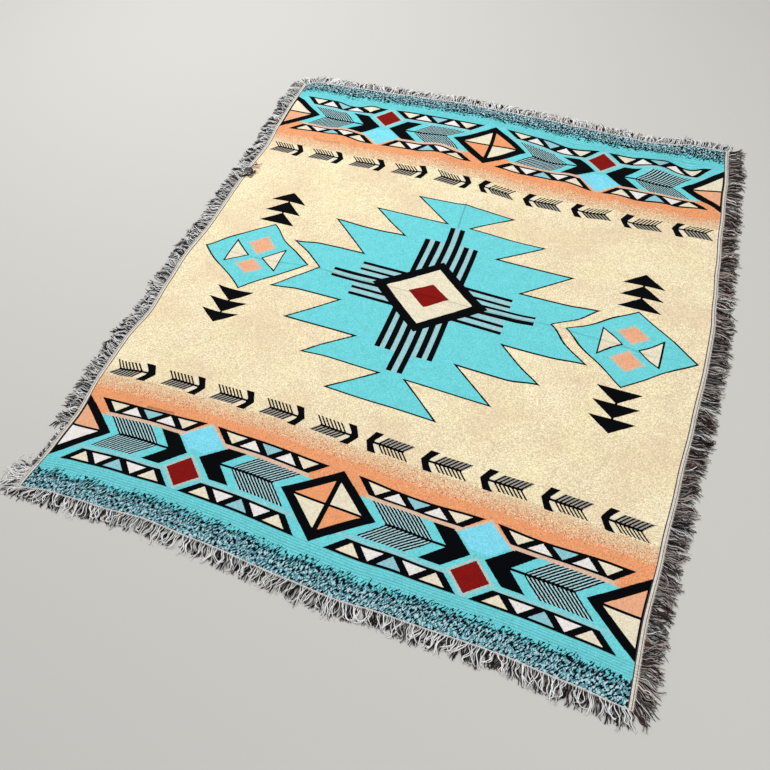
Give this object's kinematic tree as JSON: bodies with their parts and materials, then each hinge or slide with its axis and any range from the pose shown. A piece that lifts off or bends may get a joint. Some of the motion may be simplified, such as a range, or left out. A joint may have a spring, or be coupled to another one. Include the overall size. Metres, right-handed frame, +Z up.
{
  "type": "throw blanket",
  "caption": "Flat woven tapestry throw blanket with geometric bands and a yarn fringe on all four sides, laid out level on a floor.",
  "frame": {"origin": "centre of the laid throw's footprint, on the floor under it", "axes": "+Z up, +Y along the throw's length from its near end to its far end, +X across its width to the right"},
  "size_m": [1.429, 1.6112, 0.013],
  "materials": {
    "cloth": "matt jacquard weave of cotton and polyester yarns in cream, turquoise, orange, black and white",
    "fringe_front": "loose curly yarns, white and grey over black",
    "fringe_right": "loose wavy yarns, dark brown, black, grey and white",
    "fringe_back": "loose curly yarns, white and grey over black",
    "fringe_left": "loose wavy yarns, white near the root and black beyond"
  },
  "bodies": {
    "root": {"cloth": "cloth", "fringe_front": "fringe_front", "fringe_right": "fringe_right", "fringe_back": "fringe_back", "fringe_left": "fringe_left"}
  },
  "joints": []
}
